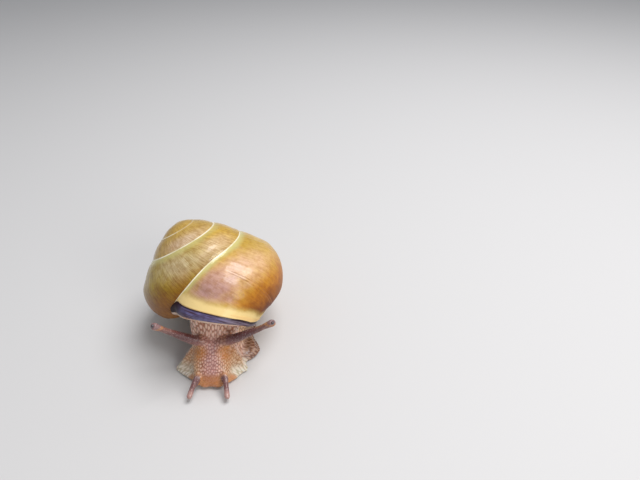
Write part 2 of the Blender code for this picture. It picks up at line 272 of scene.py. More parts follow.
GROWTH_SLANT = 0.55                 # how far the growth lines lean with the lip
REST_LINES = (-0.85, -0.815)        # where growth rested
RIDGES = ((0.005, 16, 50, 105), (0.007, 8, 16, 40))     # mm high, waves, fewest and most crests a turn
SWELLING = 0.30                     # mm, on the outer side of the last whorl


def growth_place(turn, around):
    """Turns along the coil, counted so that one growth line has one value all across the whorl."""
    return (turn - GROWTH_SLANT * lip_turn(around)) / TURN


def relief(turn, around, seam_mm, lip_mm):
    """The surface's height in mm: growth lines, rests, seam thread, a pinch behind the lip and a swelling."""
    size = WHORL_GROWTH ** (turn / TURN)
    growth = growth_place(turn, around) * TURN + 0.012 * np.sin(5 * around + 3 * turn)
    lines = sum(height * wavy(growth, *waves) for height, *waves in RIDGES) * step(seam_mm, 0.2, 1.2)
    for rest_line in REST_LINES:
        rest = growth - rest_line
        mark = 0.05 * np.exp(-np.maximum(rest, 0) / 0.03) * (rest > 0) - 0.05 * bump(rest, -0.012, 0.012)
        lines = lines + mark * step(seam_mm, 2.8, 4.2) * (1 - step(seam_mm, 9, 12))
    thread = 0.05 * bump(seam_mm, 0.12, 0.10) - 0.03 * bump(seam_mm, 0.45, 0.2)
    pinch = 0.10 * np.exp(-lip_mm / 0.8) - 0.12 * bump(lip_mm, 2.6, 0.8)
    swell = SWELLING * step(-around, -1.08, -0.75) * step(around, -1.6, -0.9) * step(lip_mm, 3, 9)
    return (lines * step(lip_mm, 0.2, 1.5) + thread) * size ** 0.5 + pinch + swell


print("relief at the lip:", round(float(relief(-0.1, 0.5, 5.0, 0.0)), 3), "mm")

# %% [markdown]
# ## Winding the shell
# The points are worked out column by column and kept with four measures that the finish needs later: the
# place along the growth, the angle round the section, and the distances from the seam above and the lip.

# %% Shell points
FAR_FROM_LIP = 30.0                 # mm, for the whorls that don't end at the lip


def column_angles(top, split, low):
    upper = top + (split - top) * np.linspace(0, 1, SEAM_ROWS + 1)[:, None]
    lower = split + (low - split) * np.linspace(0, 1, BASE_ROWS + 1)[1:, None]
    return np.concatenate([upper, lower])


def section_space(turn, around, grow=0.0):
    """The point of the section in the shell's own space, with its axis along z."""
    radius, height = section(turn, around, grow)
    radius = np.maximum(radius, AXIS_RADIUS)
    return np.stack([radius * np.cos(turn), -radius * np.sin(turn), height], axis=-1)


def lengths_down(points):
    """Distance along each column from its first row."""
    steps = np.linalg.norm(np.diff(points, axis=0), axis=-1)
    return np.concatenate([np.zeros((1, points.shape[1])), np.cumsum(steps, axis=0)])


def with_relief(turn, around, lip_mm):
    points = section_space(turn, around)
    seam_mm = lengths_down(points)
    grown = section_space(turn, around, relief(turn, around, seam_mm, lip_mm))
    return grown, np.stack([growth_place(turn, around), around, seam_mm, lip_mm], axis=-1)


def base_end():
    """For each column of the last whorl, the angle under the shell where it reaches the axis."""
    def reach(around):
        turn = np.where(shares > 0, slanted(shares, around), tops)
        return section(turn, around)[0] - AXIS_RADIUS
    return first_crossing(reach, math.radians(-60), math.radians(-215))


def last_whorl():
    top = seam_above(tops)
    split = np.full(len(tops), seam_below(tops[:1] + 0.0)[0])
    around = column_angles(top, split, base_end())
    turn = np.where(shares > 0, slanted(shares, around), tops + 0 * around)
    left = lip_turn(around) - turn
    radius = section(turn, around)[0]
    return with_relief(turn, around, np.maximum(left, 0) * np.maximum(radius, 2.0))


def upper_whorl(back):
    turn = tops - back * TURN
    top, split = seam_above(turn), seam_below(turn)
    if back == WHORLS - 1:
        top = np.full(len(turn), top[-1])
    around = top + (split - top) * np.linspace(0, 1, SEAM_ROWS + 1)[:, None]
    return with_relief(turn + 0 * around, around, np.full(around.shape, FAR_FROM_LIP))


def apex_rows():
    """The first whorl's top, from the axis out to its strip."""
    turn = tops - (WHORLS - 1) * TURN
    start, down = top_on_axis(turn), np.linspace(0, 1, APEX_ROWS + 1)[:, None]
    around = start + (seam_above(turn)[-1] - start) * down
    turn = turn + 0 * around
    far = np.full(around.shape, FAR_FROM_LIP)
    return section_space(turn, around), np.stack([growth_place(turn, around), around, far, far], axis=-1)


strips = [last_whorl()] + [upper_whorl(back) for back in range(1, WHORLS)] + [apex_rows()]
print("rows and columns of the strips:", [strip[0].shape[:2] for strip in strips])

# %% [markdown]
# ## One welded surface
# A strip's lower edge takes the numbers of the next strip's upper edge, and its last column those of the
# next strip's first column. So no point is doubled. What is left open is the ledge at the very top, where
# the coil begins, and the mouth. The ledge is zipped shut, and the mouth is closed by a wall a little
# way inside, behind the body.

# %% Welding the strips
def numbered(strips):
    """For each strip, a grid of point numbers. Edges that touch share their numbers."""
    grids, count = [], 0
    for k, (points, _) in enumerate(strips):
        grid = np.full(points.shape[:2], -1)
        if k > 0:
            above = grids[k - 1]
            grid[-1] = above[0]
            if k < WHORLS:
                grid[:, -1] = above[:SEAM_ROWS + 1, 0]
        fresh = grid < 0
        if k == 0:
            fresh[0, -1] = False
        grid[fresh] = count + np.arange(fresh.sum())
        count += fresh.sum()
        if k == 0:
            grid[0, -1] = grid[SEAM_ROWS, 0]
        grids.append(grid)
    return grids, count


def zipped(left, right, place):
    """Triangles between two rows of points that start side by side and end at one point."""
    faces, i, j = [], 0, 0
    while i < len(left) - 1 or j < len(right) - 1:
        ahead_left = i < len(left) - 1 and (j == len(right) - 1 or np.linalg.norm(
            place[left[i + 1]] - place[right[j]]) < np.linalg.norm(place[left[i]] - place[right[j + 1]]))
        faces.append((left[i], left[i + 1], right[j]) if ahead_left else (left[i], right[j + 1], right[j]))
        i, j = (i + 1, j) if ahead_left else (i, j + 1)
    return [face for face in faces if len(set(face)) == 3]


grids, point_count = numbered(strips)
place = np.zeros((point_count, 3))
corner_measures, faces = [], []
for (points, measures), grid in zip(strips, grids):
    place[grid] = points
    for i in range(grid.shape[0] - 1):
        for j in range(grid.shape[1] - 1):
            corners = [(i, j), (i + 1, j), (i + 1, j + 1), (i, j + 1)]
            face = [int(grid[c]) for c in corners]
            if len(set(face)) == 4:
                faces.append(face)
                corner_measures.extend(measures[c] for c in corners)
print(point_count, "points and", len(faces), "four-sided faces")


# %% Closing the top and the mouth
def add_fan(ring, middle):
    """Triangles from a closed ring of points to one point."""
    return [(ring[i], ring[(i + 1) % len(ring)], middle) for i in range(len(ring))]


def belts(rings):
    """Four-sided faces between each closed ring of points and the next, which has as many."""
    return [(outer[i], outer[(i + 1) % len(outer)], inner[(i + 1) % len(outer)], inner[i])
            for outer, inner in zip(rings, rings[1:]) for i in range(len(outer))]


def ring_numbers(count, size, first=0):
    """The numbers of the points in so many rings of this size, which follow each other."""
    return [range(first + k * size, first + (k + 1) * size) for k in range(count)]


def shrunk_rings(rings):
    """The mouth's edge, drawn in to its middle by a share and set back by a depth, for each such pair."""
    edge = place[mouth_loop]
    return [edge * (1 - share) + mouth_middle * share + mouth_back * depth for share, depth in rings]


MOUTH_MIDDLE_TURN = -0.5
MOUTH_WALL = ((0.03, 0.0), (0.06, 0.8), (0.5, 1.6))     # shares and depths of the wall's rings
top_grid, first_grid, last_grid = grids[-1], grids[-2], grids[0]
coil_start = [int(n) for n in np.concatenate([top_grid[:, 0], first_grid[1:, 0]])]
ledge = [int(n) for n in top_grid[:, -1]]
pole = point_count
closing = zipped(coil_start, ledge, place) + add_fan([int(n) for n in top_grid[0]], pole)

mouth_loop = [int(n) for n in np.concatenate(
    [last_grid[:, -1], last_grid[-1, -2::-1], last_grid[-2:SEAM_ROWS:-1, 0]])]
mouth_middle = place[last_grid[:, -1]].mean(axis=0)
mouth_back = np.array([math.sin(MOUTH_MIDDLE_TURN), math.cos(MOUTH_MIDDLE_TURN), 0.0])
inner_rings = ring_numbers(len(MOUTH_WALL), len(mouth_loop), pole + 1)
mouth_end = inner_rings[-1].stop
closing += belts([mouth_loop] + inner_rings) + add_fan(inner_rings[-1], mouth_end)

pole_place = place[top_grid[0]].mean(axis=0)
wall_middle = mouth_middle + mouth_back * MOUTH_WALL[-1][1]
place = np.concatenate([place, [pole_place]] + shrunk_rings(MOUTH_WALL) + [[wall_middle]])
print(len(closing), "faces close the top and the mouth")

# %% [markdown]
# The ledge at the top would show as a cut, so the first half turn is smoothed as a hand would do it: each
# point moves to the middle of its neighbours, many times, and less the further it is from the top.

# %% The shell's mesh
def edges_of(faces):
    """Each edge once, as a pair of point numbers."""
    sides = [(face[i - 1], face[i]) for face in faces for i in range(len(face))]
    return np.unique(np.sort(sides, axis=1), axis=0)


def relaxed(points, edges, amount, rounds):
    """Points moved to the middle of their neighbours by amount, 0 to 1 for each point, round by round."""
    count = np.bincount(edges.ravel(), minlength=len(points)).astype(float)
    for _ in range(rounds):
        total = np.zeros_like(points)
        for axis in range(points.shape[1]):
            total[:, axis] = (np.bincount(edges[:, 0], points[edges[:, 1], axis], len(points))
                              + np.bincount(edges[:, 1], points[edges[:, 0], axis], len(points)))
        points = points + (total / count[:, None] - points) * amount[:, None]
    return points


def computed_mesh(name, points, faces):
    mesh = bpy.data.meshes.new(name)
    mesh.from_pydata(np.asarray(points).tolist(), [], faces)
    piece = bpy.data.objects.new(name, mesh)
    bpy.context.scene.collection.objects.link(piece)
    return piece


@contextmanager
def opened(piece):
    """The piece's mesh, open for changes, which are written back at the end of the with block."""
    work = bmesh.new()
    work.from_mesh(piece.data)
    yield work
    work.to_mesh(piece.data)
    work.free()


def face_out(piece):
    """Turns every face of a closed piece outwards and shades it smooth."""
    with opened(piece) as work:
        bmesh.ops.recalc_face_normals(work, faces=work.faces)
    piece.data.shade_smooth()


def keep_measures(piece, domain, measures):
    """Writes named numbers on the points or the face corners of a piece, where its material finds them."""
    for name, values in measures.items():
        layer = piece.data.attributes.new(name, "FLOAT", domain)
        layer.data.foreach_set("value", np.array(values, np.float32))


def span(points):
    """The lowest and the highest corner of the box round some points."""
    return points.min(axis=0), points.max(axis=0)


def box_of(*names):
    return span(np.array([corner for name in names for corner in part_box(name)]) / MM)


TOP_SMOOTHED = 0.4, 1.3             # mm from the top, where the smoothing begins to fade and where it ends
MEASURES = ("growth", "around", "seam_mm", "lip_mm")
all_faces = faces + closing
from_top = np.linalg.norm(place - pole_place, axis=1)
place = relaxed(place, edges_of(all_faces), 0.6 * (1 - step(from_top, *TOP_SMOOTHED)), 60)

lean = np.array(SHELL_LEAN.to_matrix())
leaned = place @ lean.T
shell_top = np.mean(box_of("shell_spire", "shell_body_whorl"), axis=0) - np.mean(span(leaned), axis=0)
print("the shell's top is at", (leaned[pole] + shell_top).round(2), "mm")

shell = computed_mesh("shell", (leaned + shell_top) * MM, all_faces)
point_measures = np.zeros((len(place), 4))
for (_, measures), grid in list(zip(strips, grids))[::-1]:
    point_measures[grid] = measures
point_measures[pole] = point_measures[top_grid[0, 0]]
point_measures[pole + 1:mouth_end] = np.tile(point_measures[mouth_loop], (len(inner_rings), 1))
for face in closing:
    corner_measures.extend(point_measures[n] for n in face)
keep_measures(shell, "CORNER", dict(zip(MEASURES, np.transpose(corner_measures))))
face_out(shell)
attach(shell, "root")
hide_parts("shell_spire", "shell_body_whorl")
print("shell triangles:", sum(len(face) - 2 for face in all_faces))

# %% [markdown]
# ## Helpers for materials
# Every finish here is a small network of nodes. What a node puts out is kept as a `Field`: a number or a
# colour with its own value at each place of the surface. Fields of numbers are added and multiplied as
# plain numbers are, `faded` makes a soft mask of one, and `layered` lays colours on each other by masks.

# %% Fields
class Field:
    """What one output of a node gives at each place of a surface."""

    def __init__(self, made, output=0):
        self.socket = made.outputs[output]
        self.tree = made.id_data

    def maths(self, operation, other=0.0):
        return Field(node(self.tree, "Math", {0: self, 1: other}, operation=operation))

    def __add__(self, other):
        return self.maths("ADD", other)

    def __sub__(self, other):
        return self.maths("SUBTRACT", other)

    def __mul__(self, other):
        return self.maths("MULTIPLY", other)

    def __truediv__(self, other):
        return self.maths("DIVIDE", other)

    def __pow__(self, other):
        return self.maths("POWER", other)

    def __abs__(self):
        return self.maths("ABSOLUTE")

    def faded(self, low, high, start=0.0, end=1.0):
        """Start where the field is below low, end where it is above high, and smoothly between."""
        inputs = {"Value": self, "From Min": low, "From Max": high, "To Min": start, "To Max": end}
        return Field(node(self.tree, "MapRange", inputs, interpolation_type="SMOOTHSTEP"))


def node(tree, kind, inputs=None, **settings):
    """A new node, with its settings made and its inputs plugged in or set."""
    made = tree.nodes.new("ShaderNode" + kind)
    for name, value in settings.items():
        setattr(made, name, value)
    for key, value in (inputs or {}).items():
        if isinstance(value, Field):
            tree.links.new(value.socket, made.inputs[key])
        else:
            made.inputs[key].default_value = value
    return made


def feed(made, **fields):
    """Plugs fields into a node, whose inputs are named with _ for a space."""
    for name, field in fields.items():
        made.id_data.links.new(field.socket, made.inputs[name.replace("_", " ")])


print("fields ready")

# %% Colours, noise and relief
def mixed(mask, under, over, blend="MIX"):
    inputs = {0: mask}
    for key, colour in ((6, under), (7, over)):
        inputs[key] = colour if isinstance(colour, Field) else (*colour, 1)
    return Field(node(mask.tree, "Mix", inputs, data_type="RGBA", blend_type=blend), 2)


def layered(colour, *layers):
    """Colours laid on each other in turn. A layer is a mask, its colour and, if it isn't plain, its blend."""
    for mask, over, *blend in layers:
        colour = mixed(mask, colour, over, *blend)
    return colour


def measures_of(tree, *names):
    return [Field(node(tree, "Attribute", attribute_name=name), "Fac") for name in names]


def grain(here, scale, detail=2.0, roughness=0.5):
    """Cloudy noise, mostly between 0.3 and 0.7."""
    inputs = {"Vector": here, "Scale": scale, "Detail": detail, "Roughness": roughness}
    return Field(node(here.tree, "TexNoise", inputs))


def uneven(height, strength, depth_mm, below=None):
    """Normals that follow a height field, added to the normals below."""
    inputs = {"Height": height, "Strength": strength, "Distance": depth_mm * MM}
    if below:
        inputs["Normal"] = below
    return Field(node(height.tree, "Bump", inputs))


print("helpers for colours ready")

# %% [markdown]
# ## Growth lines as a finish
# The relief above holds the coarser growth lines. The finest are thinner than its columns, so they are a
# node group that gives a mask and a height: a noise stretched along each growth line. The lip uses it too.

# %% Growth line group
growth_lines = bpy.data.node_groups.new("growth_lines", "ShaderNodeTree")
for label, default in (("Growth", 0.0), ("Across", 0.0), ("Fineness", 200.0), ("Sharpness", 0.5)):
    socket = growth_lines.interface.new_socket(label, in_out="INPUT", socket_type="NodeSocketFloat")
    socket.default_value = default
for label in ("Mask", "Height"):
    growth_lines.interface.new_socket(label, in_out="OUTPUT", socket_type="NodeSocketFloat")
lines_in, lines_out = [growth_lines.nodes.new("NodeGroup" + way) for way in ("Input", "Output")]
lines_across = Field(lines_in, "Across") * 3.2
fine_growth = Field(lines_in, "Growth") * Field(lines_in, "Fineness")
fine_lines, coarse_lines = [
    grain(Field(node(growth_lines, "CombineXYZ", {0: growth, 1: lines_across})), 1.0, detail)
    for growth, detail in ((fine_growth, 1.0), (fine_growth * 0.34, 3.0))]
line_height = fine_lines * 0.5 + coarse_lines * 0.5
sharpness = Field(lines_in, "Sharpness")
feed(lines_out, Mask=line_height.faded(sharpness * -0.12 + 0.5, sharpness * -0.06 + 0.62), Height=line_height)
print("growth line group has", len(growth_lines.nodes), "nodes")

# %% [markdown]
# ## The shell's finish
# The shell is yellow, but no two parts of it are the same yellow. It is olive on the shaded side, with a
# darker amber under it that is partly painted shade, golden over the top, orange-brown low down, and mauve
# where it is thin and the animal shows through, with some painted sky reflection in the mauve and rose.
# Broad painted sheens, grey and tan on the older whorls and a peach highlight on the last one, stand in for
# reflections of the sky. A pale green-yellow ribbon follows the seam, with a white thread in it, and the
# last two millimetres before the lip are creamy. Each zone is a soft mask from the four measures, so it
# follows the coil on every side.

# %% Shell material
GOLD, PALE_GOLD, OLIVE = (0.64, 0.40, 0.045), (0.52, 0.35, 0.10), (0.44, 0.31, 0.018)
SHEEN_GREY, SHEEN_TAN, OLD_WHORL_SHEEN = (0.66, 0.56, 0.42), (0.80, 0.58, 0.40), (0.66, 0.50, 0.38)
AMBER, BROWN, DEEP_AMBER_SHADE = (0.46, 0.150, 0.004), (0.12, 0.018, 0.001), (0.28, 0.09, 0.002)
PEACH, ROSE, MAUVE = (0.84, 0.57, 0.34), (0.66, 0.37, 0.30), (0.45, 0.255, 0.25)

shell_finish, tree, shader = new_material(
    "shell_glaze", Roughness=0.34, Coat_Weight=0.6, Coat_Roughness=0.11, Specular_IOR_Level=0.25)
growth, around, seam_mm, lip_mm = measures_of(tree, *MEASURES)
here = Field(node(tree, "TexCoord"), "Object")
patches, clouds = grain(here, 420.0, 4.0, 0.6), grain(here, 150.0, 3.0, 0.55)
ragged = patches - 0.5


def zone(centre, radii, softness=0.5, noise=0.6):
    """An oval mask on the coil, with a ragged soft edge: centre and radii in turns and mm from the seam."""
    along, down = (growth - centre[0]) / radii[0], (seam_mm - centre[1]) / radii[1]
    distance = (along * along + down * down) ** 0.5 + ragged * noise
    return distance.faded(1.0 - softness, 1.0 + softness * 0.3, 1.0, 0.0)


olive_part = growth.faded(-1.26, -1.06) * growth.faded(-0.80, -0.58, 1.0, 0.0)
low_side = around + ragged * 0.7
colour = layered(
    mixed(clouds.faded(0.35, 0.65), GOLD, tuple(0.86 * c for c in GOLD)),
    (growth.faded(-2.0, -1.2, 0.65, 0.0), PALE_GOLD),
    (olive_part * 0.9, OLIVE),
    # painted sheens: grey, tan and pale tan patches stand in for sky reflection on the older whorls
    (zone((-1.04, 2.9), (0.14, 2.8), 1.0, 1.2) * 0.62, SHEEN_GREY),
    (zone((-1.17, 3.0), (0.08, 2.2), 0.9) * 0.55, SHEEN_TAN),
    (zone((-2.08, 2.7), (0.16, 1.6), 0.9) * 0.75, OLD_WHORL_SHEEN),
    (low_side.faded(0.25, 1.0, 0.95, 0.0) * growth.faded(-0.45, -0.18), AMBER),
    (low_side.faded(-0.1, 0.55, 0.9, 0.0) * growth.faded(-0.26, -0.12), BROWN),
    # darker amber low on the olive whorl: partly its own colour, partly painted shade
    (low_side.faded(0.30, 1.15, 0.9, 0.0) * olive_part, DEEP_AMBER_SHADE),
    # painted highlight: a peach patch where the sky's reflection falls on the last whorl
    (zone((-0.175, 4.2), (0.09, 3.0), 1.0) * 0.65, PEACH),
    # rose and mauve: the animal showing through the thin shell, with painted sky reflection in them
    (zone((-0.110, 3.2), (0.115, 3.6), 1.0, 1.3) * 0.7, ROSE),
    (zone((-0.062, 3.4), (0.070, 3.6), 1.0, 1.8) * 0.85, MAUVE))
print("shell zones mixed")

# %% Seam, lip band and gloss
LINE_TAN, MOTTLE_TAN, REST_BROWN = (0.50, 0.38, 0.18), (0.72, 0.58, 0.38), (0.30, 0.11, 0.02)
SEAM_GREEN, THREAD = (0.58, 0.52, 0.20), (0.90, 0.83, 0.64)
BAND_OLIVE, CREAM, LIP_LINE = (0.58, 0.42, 0.11), (0.86, 0.64, 0.27), (0.60, 0.32, 0.12)

lines = node(tree, "Group", {"Growth": growth, "Across": around, "Fineness": 430.0, "Sharpness": 0.6},
             node_tree=growth_lines)
colour = layered(
    colour,
    (Field(lines, "Mask") * growth.faded(-0.7, -0.3, 0.55, 0.24), LINE_TAN, "MULTIPLY"),
    (grain(here, 1500.0, 4.0, 0.7).faded(0.42, 0.66, 0.0, 0.55), MOTTLE_TAN, "MULTIPLY"))
for rest_line in REST_LINES:
    near_rest = abs(growth - rest_line / TURN).faded(0.0004, 0.0022, 0.8, 0.0)
    colour = mixed(near_rest * patches.faded(0.40, 0.55) * seam_mm.faded(2.6, 4.0), colour, REST_BROWN)
seam_edge, band_edge = seam_mm + ragged * 1.2, lip_mm + ragged * 1.4
worn = patches.faded(0.35, 0.60, 0.45, 1.0)
colour = layered(
    colour,
    (seam_edge.faded(0.35, 1.5, 1.0, 0.0) * growth.faded(-1.9, -0.7, 0.05, 0.9), SEAM_GREEN),
    (band_edge.faded(1.4, 2.7, 0.65, 0.0), BAND_OLIVE),
    (band_edge.faded(1.0, 1.9, 0.95, 0.0), CREAM),
    (lip_mm.faded(0.08, 0.26, 0.45, 0.0), LIP_LINE),
    (seam_mm.faded(0.16, 0.30, 1.0, 0.0) * growth.faded(-2.4, -1.7, 0.45, 0.95) * worn, THREAD))
feed(shader, Base_Color=colour, Coat_Weight=low_side.faded(0.1, 1.1, 0.08, 0.52),
     Roughness=patches.faded(0.3, 0.7, 0.26, 0.40) + low_side.faded(0.0, 1.0, 0.18, 0.0),
     Normal=uneven(patches, 0.6, 0.10, uneven(Field(lines, "Height"), 0.3, 0.05)))
shell.data.materials.append(shell_finish)
print("shell finish has", len(tree.nodes), "nodes")

# %% [markdown]
# ## The lip
# A grown snail of this kind ends its shell in a rounded, nearly black rim, which gave it its old name. It
# is full over the top of the mouth and slimmer down the outer side. It follows the computed edge of the
# shell exactly, so it is swept by the same rule: an oval section, tucked a little under the shell's edge,
# is carried round the mouth, and both ends are closed.

# %% The mouth's frame
LIP_FIRST, LIP_LAST, MOUTH_FIRST = [math.radians(angle) for angle in (92, -150, 84)]
EDGE_SWELL = 0.08                   # how far the relief lifts the shell's very edge
mouth_angles = np.linspace(LIP_LAST, MOUTH_FIRST, 24)
mouth_edge = section_space(lip_turn(mouth_angles), mouth_angles)
mouth_centre = mouth_edge.mean(axis=0)
mouth_forward = np.linalg.svd(mouth_edge - mouth_centre)[2][2]
mouth_forward *= np.sign(mouth_forward @ -mouth_back)


def mouth_point(around, outward, ahead):
    """Points by the edge of the mouth, in world mm: so far outward from it, and so far ahead of the mouth."""
    edge = section_space(lip_turn(around), around, EDGE_SWELL)
    radial = edge - mouth_centre
    radial = radial - (radial @ mouth_forward)[..., None] * mouth_forward
    radial = radial / np.linalg.norm(radial, axis=-1, keepdims=True)
    own = edge + radial * np.asarray(outward)[..., None] + mouth_forward * np.asarray(ahead)[..., None]
    return own @ lean.T + shell_top


print("the mouth faces", (mouth_forward @ lean.T).round(2))

# %% Lip piece
LIP_THICK, LIP_WIDTH, LIP_TUCK, LIP_FLARE = 1.05, 1.72, 0.28, 0.10
LIP_ROUNDING = 0.12                 # how far round the mouth the lip's blunt end reaches, as an angle
LIP_STEPS, LIP_SIDES = 190, 32
LIP_PLACES = np.radians([-150, -120, -60, 0, 35, 70, 98])
LIP_FULLNESS = [0.40, 0.50, 0.50, 0.52, 0.84, 1.10, 1.12]   # how full the lip is at each of those places
lip_around = np.linspace(LIP_FIRST, LIP_LAST, LIP_STEPS + 1)
from_end = np.clip((LIP_FIRST - lip_around) / LIP_ROUNDING, 0, 1)
rounded_end = np.sqrt(np.clip(1 - (1 - from_end) ** 2, 0.02, 1))
fullness = np.interp(lip_around, LIP_PLACES, LIP_FULLNESS) * rounded_end
sides_grid, full_grid = np.meshgrid(np.linspace(0, TURN, LIP_SIDES, endpoint=False), fullness)
around_grid = np.repeat(lip_around[:, None], LIP_SIDES, axis=1)
half_thick, half_wide = LIP_THICK / 2 * full_grid, LIP_WIDTH / 2 * full_grid
ripple = 1 + 0.010 * np.sin(around_grid * 23) * np.sin(sides_grid * 2)
out = LIP_FLARE - half_thick + half_thick * np.cos(sides_grid) * ripple
ahead = half_wide * (1 + np.sin(sides_grid) * ripple) - LIP_TUCK
lip_points = mouth_point(around_grid, out, ahead).reshape(-1, 3)
lip_rings = ring_numbers(LIP_STEPS + 1, LIP_SIDES)
lip_faces = belts(lip_rings)
for number, ring in ((0, lip_rings[0]), (1, lip_rings[-1])):
    lip_faces += add_fan(ring, len(lip_points) + number)
lip_ends = np.array([lip_points[:LIP_SIDES].mean(axis=0), lip_points[-LIP_SIDES:].mean(axis=0)])
lip = computed_mesh("lip", np.concatenate([lip_points, lip_ends]) * MM, lip_faces)
keep_measures(lip, "POINT", {"along": [*around_grid.ravel(), 0, 0], "side": [*ahead.ravel(), 0, 0]})
face_out(lip)
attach(lip, "root")
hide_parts("shell_lip")
print("lip points:", len(lip_points))

# %% Lip material
# The lip itself is nearly black; its bluish and pinkish tints are painted reflections of the sky.
LIP_BLACK, LIP_STREAK, LIP_SPECK = (0.018, 0.004, 0.010), (0.060, 0.025, 0.045), (0.24, 0.22, 0.30)
LIP_SKY_SHEEN = (0.105, 0.090, 0.195), (0.180, 0.165, 0.345)    # painted bluish sky reflection: darkest, palest
LIP_PINK_SHEEN = (0.20, 0.150, 0.185), (0.34, 0.265, 0.31)       # and the pinkish painted reflection on the other side

lip_finish, tree, shader = new_material(
    "lip_glaze", Roughness=0.34, Coat_Weight=0.35, Coat_Roughness=0.16, Specular_IOR_Level=0.20)
along, side = measures_of(tree, "along", "side")
lines = node(tree, "Group", {"Growth": side, "Across": along, "Fineness": 9.0}, node_tree=growth_lines)
here = Field(node(tree, "TexCoord"), "Object")
specks = grain(here, 1500.0, 3.0, 0.6)
sky_sheen = mixed(grain(here, 900.0, 3.0).faded(0.35, 0.65), *LIP_SKY_SHEEN)
sky_sheen = mixed(along.faded(0.25, 0.70, 0.75, 0.0), sky_sheen, mixed(specks.faded(0.3, 0.7), *LIP_PINK_SHEEN))
sky_sheen_part = along.faded(0.95, 1.32, 1.0, 0.0) * side.faded(0.05, 0.35)
colour = layered(
    mixed(sky_sheen_part, LIP_BLACK, sky_sheen),
    (Field(lines, "Mask") * sky_sheen_part, LIP_STREAK),
    (specks.faded(0.68, 0.76, 0.0, 0.4), LIP_SPECK))
feed(shader, Base_Color=colour, Coat_Weight=along.faded(0.95, 1.32, 0.45, 0.05),
     Roughness=specks.faded(0.3, 0.7, 0.30, 0.50) + along.faded(1.15, 1.45, 0.0, 0.30),
     Normal=uneven(specks, 0.3, 0.05, uneven(Field(lines, "Height"), 0.4, 0.06)))
lip.data.materials.append(lip_finish)
print("lip finish has", len(tree.nodes), "nodes")

# %% [markdown]
# ## The skin
# A snail's soft body has no seams: head, neck, foot, mantle and feelers are one wet skin. It could be
# sculpted by hand, but its shape is already there in the measured pieces, which only need to run
# together. So copies of them are joined, swollen a little until the gaps close, and remeshed into one
# skin. After smoothing, the skin shrinks back by as much as it swelled. This is done at a thousand times
# the size, where a millimetre is one unit, because the remesher can't work with smaller steps.

# %% Clay copies
FLESH = ("mantle_collar", "muzzle", "head", "neck", "trunk", "foot_front", "foot_middle", "foot_rear", "tail",
         "feeler_upper_right", "feeler_upper_left", "feeler_lower_right", "feeler_lower_left")
UPPER, LOWER = FLESH[9:11], FLESH[11:13]
COLLAR_INSET, COLLAR_SHARE = 0.75, 0.88     # how far the collar lies back in the mouth, and how much is left


def clay_copy(name):
    """A loose copy of a measured piece, with its doubled points merged, in mm."""
    copy = bpy.data.objects.new("clay_" + name, nodes[name].data.copy())
    bpy.context.scene.collection.objects.link(copy)
    with opened(copy) as work:
        bmesh.ops.scale(work, vec=(1 / MM,) * 3, verts=work.verts)
        bmesh.ops.remove_doubles(work, verts=work.verts, dist=0.001)
    copy.data.materials.clear()
    return copy


clay = {name: clay_copy(name) for name in FLESH}
mouth_world, ahead_world = Vector(mouth_centre @ lean.T + shell_top), Vector(mouth_forward @ lean.T)
clay["mantle_collar"].data.transform(
    Matrix.Translation(mouth_world - ahead_world * COLLAR_INSET) @ Matrix.Scale(COLLAR_SHARE, 4)
    @ Matrix.Translation(-mouth_world))
print("pieces of clay:", len(clay))

# %% [markdown]
# The mantle is the skin that lines the shell's mouth and builds the shell. Its edge is a flattened roll
# that follows the lip from inside and shows a little beyond it. Its front fills the mouth round the body.
# Both follow the edge of the mouth, so they are laid out by the same rule as the lip. The roll draws back
# where a feeler passes, or the two would fuse.

# %% Mantle clay
RIM_FIRST, RIM_THICK, RIM_REACH, RIM_SHOWS = math.radians(98), 0.24, 0.55, 0.26
RIM_INSET = 0.35                    # mm, from the lip's middle in to the rim's
RIM_DENT, RIM_NEAR = 1.4, 2.2       # how far the rim draws back from a feeler, and from how near
RIM_STEPS, RIM_SIDES = 120, 12
PLUG_RINGS = ((0.20, 0.90), (0.14, 0.40), (0.20, 0.05), (0.40, -0.15), (0.70, -0.20))
PLUG_ENDS = (-0.2, 1.3)             # depths of its middle, in front and behind


def bvh_of(piece):
    mesh = piece.data
    return BVHTree.FromPolygons([v.co for v in mesh.vertices], [p.vertices for p in mesh.polygons])


def clay_rim():
    path = np.linspace(RIM_FIRST, LIP_LAST, RIM_STEPS)
    full = np.interp(path, LIP_PLACES, LIP_FULLNESS)
    curl = step(path, LIP_FIRST - 0.10, RIM_FIRST)      # at the corner it curls up round the lip's end
    thick = RIM_THICK * (1 - 0.25 * curl)
    middle_out = LIP_FLARE - 0.5 * LIP_THICK * full * (1 - curl) - RIM_INSET
    middle_ahead = (LIP_WIDTH * full - LIP_TUCK + RIM_SHOWS - thick) * (1 - 0.9 * curl)
    sides = np.linspace(0, TURN, RIM_SIDES, endpoint=False)[None, :]
    out = middle_out[:, None] + RIM_REACH * np.cos(sides)
    ahead = middle_ahead[:, None] + thick[:, None] * np.sin(sides)
    around = path[:, None] + 0 * out
    feelers = [bvh_of(clay[name]) for name in UPPER]
    gaps = np.array([min(feeler.find_nearest(Vector(point))[3] for feeler in feelers for point in ring)
                     for ring in mouth_point(around, out, ahead)])
    retreat = RIM_DENT * (1 - gaps / RIM_NEAR).clip(0, 1)[:, None] ** 2
    points = mouth_point(around, out - 0.35 * retreat, ahead - retreat).reshape(-1, 3)
    rings = ring_numbers(RIM_STEPS, RIM_SIDES)
    return computed_mesh("clay_rim", points, belts(rings) + [tuple(rings[0]), tuple(rings[-1])])


